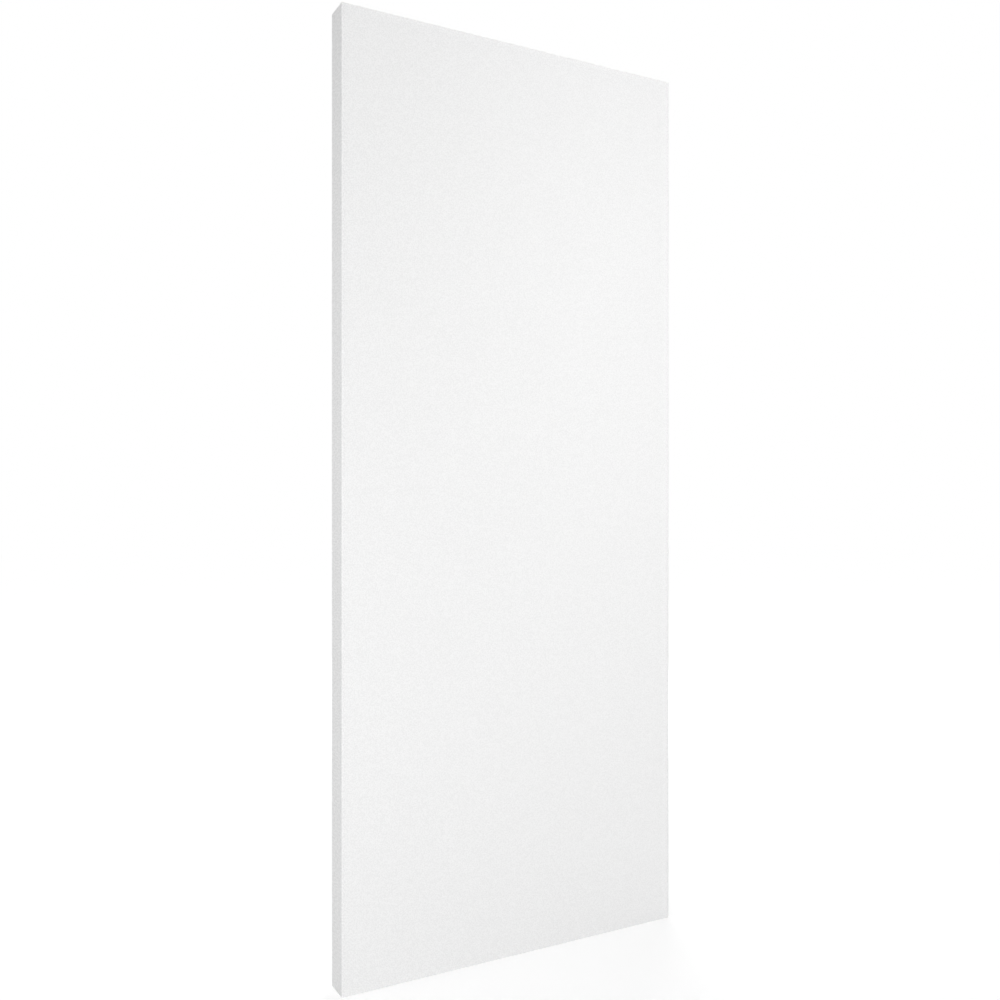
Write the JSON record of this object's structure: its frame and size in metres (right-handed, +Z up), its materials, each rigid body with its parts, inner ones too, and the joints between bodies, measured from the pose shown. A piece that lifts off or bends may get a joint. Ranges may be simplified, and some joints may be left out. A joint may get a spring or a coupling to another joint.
{
  "type": "flush fire door leaf",
  "caption": "Plain white flush fire door leaf: painted facings and lipped long edges over a timber frame and a solid core, with no frame, hinges or lock.",
  "frame": {"origin": "on the outer face of the hinge edge, at mid thickness, at the foot of the leaf", "axes": "+X across the leaf from the hinge edge to the lock edge, -Y out of the front face, +Z up"},
  "size_m": [0.838, 0.054, 1.981],
  "materials": {
    "painted_facing": "satin",
    "painted_lipping": "satin",
    "sealed_timber": "matt",
    "core_board": "matt"
  },
  "bodies": {
    "root": {"front_facing": "painted_facing", "back_facing": "painted_facing", "hinge_lipping": "painted_lipping", "lock_lipping": "painted_lipping", "hinge_stile": "sealed_timber", "lock_stile": "sealed_timber", "top_rail": "sealed_timber", "bottom_rail": "sealed_timber", "core": "core_board"}
  },
  "joints": []
}
